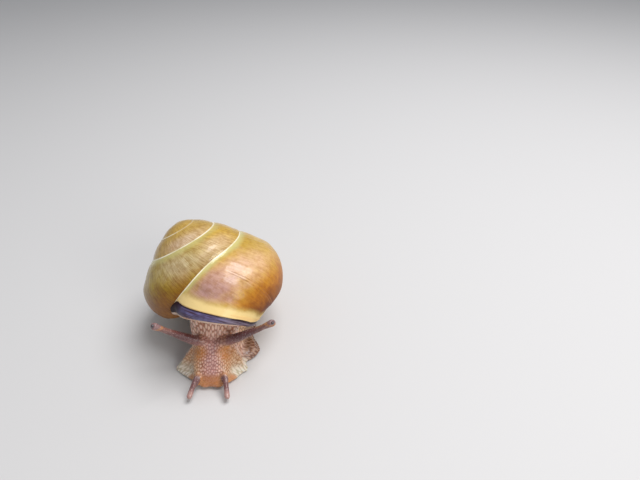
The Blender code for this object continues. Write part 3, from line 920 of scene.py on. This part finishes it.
def clay_plug():
    """The mantle's front: rings of the mouth's own shape, drawn in to its middle and set back by a depth."""
    ends = [[mouth_middle + mouth_back * depth] for depth in PLUG_ENDS]
    points = np.concatenate(shrunk_rings(PLUG_RINGS) + ends)
    rings = ring_numbers(len(PLUG_RINGS), len(mouth_loop))
    faces = belts(rings) + add_fan(rings[-1], len(points) - 2) + add_fan(rings[0], len(points) - 1)
    return computed_mesh("clay_plug", points @ lean.T + shell_top, faces)


clay["rim"], clay["plug"] = clay_rim(), clay_plug()
face_out(clay["rim"])
face_out(clay["plug"])
print("mantle clay:", len(clay["rim"].data.vertices), "and", len(clay["plug"].data.vertices), "points")

# %% [markdown]
# Between the measured pieces some soft places need more clay: the lobes of the mouth, the folds from the
# cheeks down to the corners of the foot, the thick roots of the upper feelers, and the hollows where neck,
# trunk and mantle meet. Stretched balls and wedges are enough, because all of it melts into the skin.

# %% Lobes, folds and roots
NECK_BLOBS = {"core": ((-0.2, -5.6, 4.8), (2.70, 1.75, 1.35)),                  # from neck to trunk
              "shoulder_0": ((2.2, -7.6, 6.7), (0.9, 1.5, 1.3)),                # and from both to the mantle
              "shoulder_1": ((0.9, -7.3, 8.0), (1.2, 1.2, 0.9)),
              "shoulder_2": ((2.4, -4.1, 5.1), (0.85, 1.1, 0.85))}
LOBE_OUT, LOBE_BACK, LOBE_UP, LOBE_RADII = 0.85, 0.55, 0.75, (0.95, 0.75, 0.55)
FOLD_BLUNT = 0.35                   # half the width of a fold's ridge
FEELER_ENDS = {"feeler_upper_right": ((-1.2, -10.0, 5.0), (-7.4, -12.1, 10.9)),
               "feeler_upper_left": ((0.2, -10.1, 5.0), (8.42, -11.2, 10.6))}
ROOTS = ((0.03, 1.0), (0.12, 0.78), (0.20, 0.64))   # share of the way up the feeler, and thickness there


def blob(place, radii):
    """A stretched ball of clay."""
    bpy.ops.object.select_all(action="DESELECT")
    bpy.ops.mesh.primitive_uv_sphere_add(segments=24, ring_count=14, location=place)
    ball = bpy.context.object
    ball.scale = radii
    bpy.ops.object.transform_apply(location=True, rotation=True, scale=True)
    return ball


def side_fold(name, cheek, middle, foot_corner, rear, front):
    """A wedge of clay under a blunt ridge, from the cheek down to a corner of the foot."""
    fold = computed_mesh(name, [], [])
    with opened(fold) as work:
        for x, y, z in (cheek, middle, foot_corner):
            work.verts.new((x, y - FOLD_BLUNT, z))
            work.verts.new((x, y + FOLD_BLUNT, z))
        work.verts.new(rear)
        work.verts.new(front)
        bmesh.ops.convex_hull(work, input=work.verts)
        bmesh.ops.delete(work, geom=[vert for vert in work.verts if not vert.link_faces], context="VERTS")
    face_out(fold)
    return fold


for name, (middle, radii) in NECK_BLOBS.items():
    clay[name] = blob(middle, radii)
(muzzle_low, muzzle_high), (head_low, head_high) = box_of("muzzle"), box_of("head")
HEAD_X, muzzle_x = (head_low[0] + head_high[0]) / 2, (muzzle_low[0] + muzzle_high[0]) / 2
for side_way in (-1, 1):
    lobe_place = (muzzle_x + side_way * LOBE_OUT, muzzle_low[1] + LOBE_BACK, LOBE_UP)
    clay[f"lip_lobe_{side_way}"] = blob(lobe_place, LOBE_RADII)
right, left, foot_right = head_low[0], head_high[0], box_of("foot_front")[0][0]
clay["fold_right"] = side_fold(
    "clay_fold_right", cheek=(right - 0.30, -9.8, 4.1), middle=(right - 1.3, -10.1, 2.3),
    foot_corner=(foot_right, -10.4, 0.3), rear=(right + 0.3, -8.0, 0.3), front=(right + 0.3, -12.3, 0.3))
clay["cheek_left"] = blob((left - 0.65, -9.7, 3.5), (0.75, 1.0, 0.9))
clay["fold_left"] = side_fold(
    "clay_fold_left", cheek=(left - 0.40, -9.9, 4.2), middle=(left + 0.65, -10.3, 2.3),
    foot_corner=(left + 1.45, -10.6, 0.3), rear=(left + 0.2, -7.6, 0.3), front=(left - 0.5, -12.3, 0.3))
for name, ends in FEELER_ENDS.items():
    base, tip = np.array(ends)
    for share, radius in ROOTS:
        clay[f"root_{share}_{name}"] = blob(base + (tip - base) * share, (radius * 1.25, radius, radius))
print("pieces of clay:", len(clay))

# %% [markdown]
# Now all the clay is joined, swollen and remeshed. Before that, each piece's shape is kept by its name, so
# that a place on the skin can still be asked later which part of the snail it belongs to.

# %% One skin
CLAY_SWELL, CLAY_STEP = 0.30, 0.195     # mm: how far the clay swells, and the size of the remesh


def apply_modifier(piece, kind, **settings):
    bpy.ops.object.select_all(action="DESELECT")
    bpy.context.view_layer.objects.active = piece
    piece.select_set(True)
    modifier = piece.modifiers.new(kind.lower(), kind)
    for name, value in settings.items():
        setattr(modifier, name, value)
    bpy.ops.object.modifier_apply(modifier=modifier.name)


def numbers_of(items, name, wide=3, kind=np.float32):
    """A row of numbers for each point or edge of a mesh."""
    flat = np.empty(len(items) * wide, kind)
    items.foreach_get(name, flat)
    return flat.reshape(-1, wide)


def points_of(piece):
    return numbers_of(piece.data.vertices, "co").astype(float)


shapes = {name: bvh_of(piece) for name, piece in clay.items()}
reach_of = {name: span(points_of(piece)) for name, piece in clay.items()}
bpy.ops.object.select_all(action="DESELECT")
for piece in clay.values():
    piece.select_set(True)
bpy.context.view_layer.objects.active = clay["head"]
bpy.ops.object.join()
skin = bpy.context.object
skin.name = skin.data.name = "skin"
apply_modifier(skin, "DISPLACE", strength=CLAY_SWELL, mid_level=0)
apply_modifier(skin, "REMESH", mode="VOXEL", voxel_size=CLAY_STEP, adaptivity=0)
print("skin points after the remesh:", len(skin.data.vertices))


# %% Smoothing and shrinking back
def set_points(piece, points):
    piece.data.vertices.foreach_set("co", points.astype(np.float32).ravel())
    piece.data.update()


def normals_of(piece):
    return numbers_of(piece.data.vertex_normals, "vector").astype(float)


def mesh_edges(piece):
    return numbers_of(piece.data.edges, "vertices", 2, np.int32)


def smooth_skin(rounds, keep=0.53):
    """Smooths the skin without shrinking: each round moves its points in, and then nearly as far out."""
    points, edges = points_of(skin), mesh_edges(skin)
    everywhere = np.ones(len(points))
    for _ in range(rounds):
        points = relaxed(points, edges, 0.5 * everywhere, 1)
        points = relaxed(points, edges, -keep * everywhere, 1)
    set_points(skin, points)


smooth_skin(14)
set_points(skin, points_of(skin) - CLAY_SWELL * normals_of(skin))
smooth_skin(6)
print("skin box in mm:", *[corner.round(2) for corner in span(points_of(skin))])

# %% [markdown]
# ## Which part is which
# The finish must know feelers from head, and head from foot, though the skin is one mesh. Each point looks
# up how near it is to the measured piece that it came from, and keeps that as a soft mask. The feelers are
# then fattened towards their base, and the upper lip is drawn back a little.

# %% Masks
TAIL_TAPER, TAIL_TAPER_FROM = 0.72, 19.5    # the tail's tip is this share thinner, beginning at this place
UPPER_FATTER, LOWER_FATTER = 0.27, 0.05     # mm, how much the feelers are fattened
LIP_DRAWN_BACK = 0.50                       # mm, of the upper lip over the mouth


def nearness(points, names, reach=0.55):
    """1 on the named pieces, fading to 0 at this reach from them."""
    distance = np.full(len(points), reach)
    for name in names:
        low, high = reach_of[name]
        inside = np.nonzero(np.all((points > low - reach) & (points < high + reach), axis=1))[0]
        for n in inside:
            found = shapes[name].find_nearest(Vector(points[n]), reach)
            if found[3] is not None:
                distance[n] = min(distance[n], found[3])
    return 1 - step(distance, 0.15, reach)


def share_up(points):
    """How far up the upper feelers, from 0 at the head to 1 at the tip."""
    low, high = reach_of["feeler_upper_left"]
    return np.clip((points[:, 2] - low[2]) / (high[2] - low[2]), 0, 1)


points = points_of(skin)
upper_mask, lower_mask = nearness(points, UPPER), nearness(points, LOWER)
up_share = share_up(points)
fatter = UPPER_FATTER * upper_mask * step(-up_share, -0.85, -0.25) * step(up_share, 0.02, 0.25)
points = points + (fatter + LOWER_FATTER * lower_mask)[:, None] * normals_of(skin)
points[:, 1] += LIP_DRAWN_BACK * step(-points[:, 1], 13.0, 14.8) * (1 - lower_mask)
tail_high = box_of("tail")[1]
past_taper = (points[:, 1] - TAIL_TAPER_FROM) / (tail_high[1] - TAIL_TAPER_FROM)
thinner = 1 - TAIL_TAPER * past_taper.clip(0, 1) ** 2
tail_middle = points[points[:, 1] > tail_high[1] - 0.5, 0].mean()
points[:, 0] = tail_middle + (points[:, 0] - tail_middle) * thinner
points[:, 2] *= thinner
set_points(skin, points)
print("feeler points:", int((upper_mask > 0.5).sum()), "upper and", int((lower_mask > 0.5).sum()), "lower")

# %% [markdown]
# The warts of head and neck are finer than those of the flanks. So the faces in front are halved, except
# under the shell and close to the floor, where nobody sees them.

# %% Finer in front
FRONT, FLOOR_EDGE = -5.5, 0.22          # mm: only in front of this place, and above this height
shell_shape = bvh_of(shell)


def in_shell(point):
    """True for a place in mm that the shell hides."""
    touched, outward, _, _ = shell_shape.find_nearest(point * MM)
    return (point * MM - touched).dot(outward) < -0.05 * MM


def finer(piece, wanted):
    """Halves the faces whose middle is wanted."""
    with opened(piece) as work:
        chosen = [face for face in work.faces if wanted(face.calc_center_median())]
        edges = list({edge for face in chosen for edge in face.edges})
        bmesh.ops.subdivide_edges(work, edges=edges, cuts=1, use_grid_fill=True)


finer(skin, lambda middle: middle.y < FRONT and middle.z > FLOOR_EDGE and not in_shell(middle))
smooth_skin(4)
skin.data.calc_loop_triangles()
print("skin triangles:", len(skin.data.loop_triangles))

# %% [markdown]
# ## Warts and grooves
# Snail skin is a pavement of raised warts with wet grooves between. On the head and neck they are long and
# stand in rows that run down to the mouth; along the flanks they are rounder; on the thin skirt of the
# foot they draw out into rays. They are laid out as jittered cells, in a grid wrapped round the body, and
# each point is raised by how far it is from the nearest border. So the warts are real shape.

# %% Cells
CELL_TABLE = 61
cell_places = rng.random((CELL_TABLE, CELL_TABLE, CELL_TABLE, 3))


def cells(places, jitter):
    """For places in units of one cell: the distances to the nearest and second nearest of the middles."""
    home = np.floor(places).astype(int)
    nearest = np.full(len(places), 9.0)
    second = nearest.copy()
    levels = (0,) if np.all(places[:, 2] == 0) else (-1, 0, 1)
    for shift in [(i, j, k) for i in (-1, 0, 1) for j in (-1, 0, 1) for k in levels]:
        cell = home + shift
        random_part = cell_places[tuple((cell % CELL_TABLE).T)] - 0.5
        middle = cell + 0.5 + random_part * jitter
        if len(levels) == 1:
            middle[:, 1] += 0.25 * (np.mod(cell[:, 0], 2) * 2 - 1)
            middle[:, 2] = 0
        distance = np.linalg.norm(places - middle, axis=1)
        second = np.where(distance < nearest, nearest, np.minimum(second, distance))
        nearest = np.minimum(nearest, distance)
    return nearest, second


def wart_heights(places, jitter=(0.6, 0.7, 0.0)):
    """0 in the grooves and 1 on the crown of each wart."""
    nearest, second = cells(places, np.array(jitter))
    return step(second - nearest, 0.0, 0.75) * (1 - 0.5 * nearest)


print("cells for", CELL_TABLE ** 3, "warts")

# %% Zones of the skin
BODY_ROUND = 3.3                        # mm, the radius that the rows of warts are laid round
NECK_CORE_LIFT, BODY_CORE_Z = 7.6, 0.5  # mm, how high the middle of that round lies
NECK_AHEAD, NECK_DOWN = 0.75, 0.66      # the way down the neck
FACE_AHEAD, FACE_DOWN = 0.59, 0.81      # and down the face, which is steeper
NECK_FROM, FLANKS_FROM, SKIRT_FROM = (-10.2, -9.4), (-7.2, -5.4), (8.7, 9.6)


def down_the_neck(points):
    """Distance across head and neck, and along their slope, in mm."""
    along = -(NECK_AHEAD * points[:, 1] + NECK_DOWN * points[:, 2])
    lift = -NECK_DOWN * points[:, 1] + NECK_AHEAD * points[:, 2]
    return BODY_ROUND * np.arctan2(points[:, 0] - HEAD_X, lift - NECK_CORE_LIFT), along


def round_the_body(points):
    return BODY_ROUND * np.arctan2(points[:, 0] - HEAD_X, points[:, 2] - BODY_CORE_Z), -points[:, 1]


points, normals = points_of(skin), normals_of(skin)
up_share = share_up(points)
upper_mask = nearness(points, UPPER, 0.8)
upper_mask *= step(upper_mask - nearness(points, ("rim",), 0.8), -0.2, 0.2) * step(up_share, 0.02, 0.26)
lower_mask = nearness(points, LOWER) * step(-points[:, 1], 12.9, 14.3)
mantle_mask = np.maximum(nearness(points, ("rim",), 0.45),
                         nearness(points, ("plug",), 0.60) * (1 - nearness(points, ("neck", "head"), 0.45)))
face_down = -(FACE_AHEAD * points[:, 1] + FACE_DOWN * points[:, 2])
muzzle_mask = nearness(points, ("muzzle", "lip_lobe_-1", "lip_lobe_1"), 0.9) * step(face_down, 5.5, 6.6)
foot_mask = nearness(points, FLESH[5:9] + ("fold_right", "fold_left"), 1.2)
fringe_mask = foot_mask * step(-points[:, 2], -2.6, -0.9)
skirt_mask = fringe_mask * step(-points[:, 1], *SKIRT_FROM)
on_neck, on_flanks = step(points[:, 1], *NECK_FROM), step(points[:, 1], *FLANKS_FROM)
print("points of the foot's fringe:", int((fringe_mask > 0.5).sum()))


# %% Warts
HEAD_WART, NECK_WART, FLANK_WART, RAY = (0.31, 0.50), (0.29, 0.90), (0.50, 0.62), (0.28, 1.20)
FEELER_GRAIN = 0.21
WART_RELIEF, GRAIN_RELIEF = 0.095, 0.045        # mm, from groove to crown, on the body and on the feelers
WART_SOFTENING = 0.35                           # so that no wart's border looks cut along the mesh


def wart_rows(sheet, size):
    """Warts as wide and long as size, in mm, on a sheet of places, given as across and along."""
    across, along = sheet
    return wart_heights(np.stack([across / size[0], along / size[1], 0 * along], axis=1))


def blended(mask, under, over):
    return under * (1 - mask) + over * mask


head_sheet, body_sheet = down_the_neck(points), round_the_body(points)
front_warts = blended(on_neck, wart_rows(head_sheet, HEAD_WART), wart_rows(head_sheet, NECK_WART))
warts = blended(on_flanks, front_warts, wart_rows(body_sheet, FLANK_WART))
warts = blended(fringe_mask, warts, wart_rows((body_sheet[1], points[:, 0]), RAY))
grains = wart_heights(points / FEELER_GRAIN, (0.8, 0.8, 0.8))
feelers = np.maximum(upper_mask, lower_mask)
bare = (1 - feelers) * (1 - mantle_mask) * (1 - 0.85 * muzzle_mask) * step(points[:, 2], 0.08, 0.5)
height = WART_RELIEF * (warts - 0.5) * bare * (1 - 0.35 * fringe_mask) * (1 - 0.5 * skirt_mask)
height += GRAIN_RELIEF * (grains - 0.5) * feelers
wart_tops = warts * bare + (1 - bare) * (0.5 + 0.9 * (grains - 0.5))
softening = np.full(len(points), WART_SOFTENING)
height, wart_tops = relaxed(np.stack([height, wart_tops], axis=1), mesh_edges(skin), softening, 1).T
set_points(skin, points + height[:, None] * normals)
keep_measures(skin, "POINT", {
    "warts": wart_tops, "upper": upper_mask, "lower": lower_mask, "mantle": mantle_mask,
    "muzzle": muzzle_mask, "skirt": skirt_mask, "up_share": up_share,
    "under": np.clip(-normals[:, 2], 0, 1)})
print("warts raised; the skin has", len(points), "points")

# %% The skin's place
skin.data.transform(Matrix.Scale(MM, 4))
skin.data.shade_smooth()
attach(skin, "root")
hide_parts(*FLESH)
print("skin box:", [round(v / MM, 1) for v in skin.dimensions])

# %% [markdown]
# ## The skin's finish
# The warts are pale and pinkish, the grooves between them brown and wet, and the crowns of some warts
# have painted glints. The brow is pinker along its middle and orange below the feelers, where the skin is
# thin and smooth. The neck is paler, partly for its own pale ridges and partly as painted light against
# the shade under the lip. The muzzle is clear orange, the skirt of the foot is cream, the mantle's edge is
# peach, and the feelers are purple-brown with pale tips. A little light passes through the skin, and a thin
# clear coat makes it moist. A fine pale mottle over all of it is a painted wet sheen.

# %% Skin material
FRONT_PINK = (0.29, 0.115, 0.070), (0.66, 0.390, 0.310)     # each pair: in the grooves, and on the warts
BACK_TAN = (0.22, 0.120, 0.070), (0.52, 0.36, 0.24)
SIDE_TAN = (0.40, 0.185, 0.065), (0.62, 0.38, 0.20)
NECK_PALE_AND_LIT = (0.44, 0.21, 0.14), (0.88, 0.60, 0.48)
LOBE_BROWN = (0.11, 0.050, 0.033), (0.29, 0.165, 0.105)
SKIRT_CREAM = (0.52, 0.44, 0.31), (0.78, 0.72, 0.60)
MUZZLE_ORANGE = (0.46, 0.155, 0.030), (0.54, 0.23, 0.075)   # this one is cloudy instead
WART_GLINT, BROW_PINK, GLOW = (0.92, 0.74, 0.68), (0.46, 0.24, 0.26), (0.52, 0.20, 0.045)
GLOW_OUT, GLOW_BACK, GLOW_UP = 1.9, -10.9, 4.4      # mm, the orange places below the feelers

skin_finish, tree, shader = new_material(
    "moist_skin", Roughness=0.4, Coat_Weight=0.35, Coat_Roughness=0.18, Subsurface_Weight=0.22,
    Subsurface_Radius=(1.0, 0.42, 0.22), Subsurface_Scale=0.0007)
here = Field(node(tree, "TexCoord"), "Object")
right_mm, back_mm = [Field(node(tree, "SeparateXYZ", {0: here}), axis) / MM for axis in (0, 1)]
clouds, wet_grain = grain(here, 420.0, 3.0), grain(here, 4200.0, 3.0, 0.6)
cloudy = clouds.faded(0.35, 0.65)
warts, upper, lower, mantle, muzzle, skirt, up_share, under = measures_of(
    tree, "warts", "upper", "lower", "mantle", "muzzle", "skirt", "up_share", "under")
raised, off_middle = warts.faded(0.0, 0.60), abs(right_mm - HEAD_X)


def spot(place, inner, outer):
    """1 within inner of a place, fading to 0 at outer; all in mm."""
    gap = node(tree, "VectorMath", {0: here, 1: tuple(v * MM for v in place)}, operation="DISTANCE")
    return (Field(gap, "Value") / MM + clouds * 0.8).faded(inner + 0.4, outer + 0.4, 1.0, 0.0)


glow_right, glow_left = [(spot((HEAD_X + way * GLOW_OUT, GLOW_BACK, GLOW_UP), 0.5, 1.9) * 0.8, GLOW)
                         for way in (-1, 1)]
neck = back_mm.faded(-10.4, -9.4) * back_mm.faded(-7.5, -5.5, 0.9, 0.0)
# painted glints: the crowns of some warts lightened as if they caught the light
wart_glints = warts.faded(0.60, 0.95, 0.0, 0.75) * clouds.faded(0.40, 0.62)
front_skin = mixed(wart_glints, mixed(raised, *FRONT_PINK), WART_GLINT)
colour = layered(
    mixed(back_mm.faded(-9.5, -5.5), front_skin, mixed(raised, *BACK_TAN)),
    (off_middle.faded(0.3, 1.3, 0.35, 0.0), BROW_PINK),
    (off_middle.faded(1.0, 2.4, 0.0, 0.85), mixed(raised, *SIDE_TAN)),
    glow_right, glow_left,
    # the neck paler: its own pale ridges, and painted light against the shade under the lip
    (neck, mixed(raised, *NECK_PALE_AND_LIT)),
    (off_middle.faded(3.4, 4.4) * back_mm.faded(-9.6, -8.8) * 0.85, mixed(raised, *LOBE_BROWN)),
    (skirt * 0.9, mixed(raised, *SKIRT_CREAM)),
    (muzzle * 0.85, mixed(cloudy, *MUZZLE_ORANGE)))
print("body zones mixed")

# %% Feelers, mantle and gloss of the skin
UPPER_TOP = (0.100, 0.036, 0.036), (0.35, 0.225, 0.230)
UPPER_UNDER = (0.20, 0.070, 0.045), (0.40, 0.200, 0.150)
BULB = (0.22, 0.13, 0.13), (0.42, 0.30, 0.31)
LOWER_BROWN = (0.16, 0.072, 0.070), (0.37, 0.215, 0.190)
MANTLE_PEACH = (0.56, 0.33, 0.22), (0.76, 0.54, 0.42)
ROOT_RED, TIP_TAN, TIP_ORANGE = (0.33, 0.155, 0.135), (0.30, 0.155, 0.120), (0.42, 0.190, 0.080)
LOWER_TIP, WET_SHEEN_GREY = (0.44, 0.26, 0.23), (0.70, 0.62, 0.55)

grainy = warts.faded(0.25, 0.75)
upper_skin = layered(
    mixed(grainy, *UPPER_TOP),
    (under.faded(0.0, 0.75), mixed(grainy, *UPPER_UNDER)),
    (up_share.faded(0.10, 0.45, 0.75, 0.0), ROOT_RED),
    (up_share.faded(0.55, 0.90, 0.0, 0.5), TIP_TAN),
    (up_share.faded(0.85, 0.89, 0.0, 0.8), TIP_ORANGE),
    (up_share.faded(0.90, 0.94), mixed(grainy, *BULB)))
lower_skin = mixed(back_mm.faded(-15.9, -15.1, 0.8, 0.0), mixed(grainy, *LOWER_BROWN), LOWER_TIP)
colour = layered(
    colour,
    (mantle.faded(0.3, 0.9), mixed(cloudy, *MANTLE_PEACH)),
    (upper.faded(0.25, 0.8), upper_skin),
    (lower.faded(0.25, 0.8), lower_skin),
    # painted wet sheen: a fine pale mottle over the whole skin
    (wet_grain.faded(0.25, 0.75, 0.0, 0.35), WET_SHEEN_GREY, "SOFT_LIGHT"))
feed(shader, Base_Color=colour, Roughness=warts.faded(0.1, 0.8, 0.26, 0.46),
     Normal=uneven(wet_grain, 0.5, 0.04))
skin.data.materials.append(skin_finish)
print("skin finish has", len(tree.nodes), "nodes")

# %% [markdown]
# ## The eyes
# A snail's eye is a tiny dark bead under clear skin at the tip of each upper feeler. Each is a ball set a
# little deeper than the measured one, so that a round dark spot shows with a bright point of light on it.

# %% Eyes
EYE_SINK, EYE_SHARE = 0.09, 0.80        # mm deeper than the measured eye, and its share of that one's size
EYE_DARK = (0.018, 0.012, 0.016), (0.075, 0.050, 0.058)
eye_finish, tree, shader = new_material("eye_glass", Roughness=0.12, Coat_Weight=1.0, Coat_Roughness=0.03)
here = Field(node(tree, "TexCoord"), "Object")
feed(shader, Base_Color=mixed(grain(here, 3500.0).faded(0.4, 0.7), *EYE_DARK))
for side_name in ("right", "left"):
    low, high = box_of("eye_" + side_name)
    centre, radius = (low + high) / 2, (high - low).max() / 2 * EYE_SHARE
    inward = np.mean(box_of("feeler_upper_" + side_name), axis=0) - centre
    eye_place = Vector(centre + inward * EYE_SINK / np.linalg.norm(inward)) * MM
    bpy.ops.object.select_all(action="DESELECT")
    bpy.ops.mesh.primitive_ico_sphere_add(subdivisions=4, radius=radius * MM, location=eye_place)
    eye = bpy.context.object
    eye.name = "eyeball_" + side_name
    bpy.ops.object.transform_apply(location=True, rotation=True, scale=True)
    bpy.ops.object.shade_smooth()
    eye.data.materials.append(eye_finish)
    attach(eye, "root")
    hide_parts("eye_" + side_name)
    print(eye.name, "radius", round(float(radius), 2), "mm")
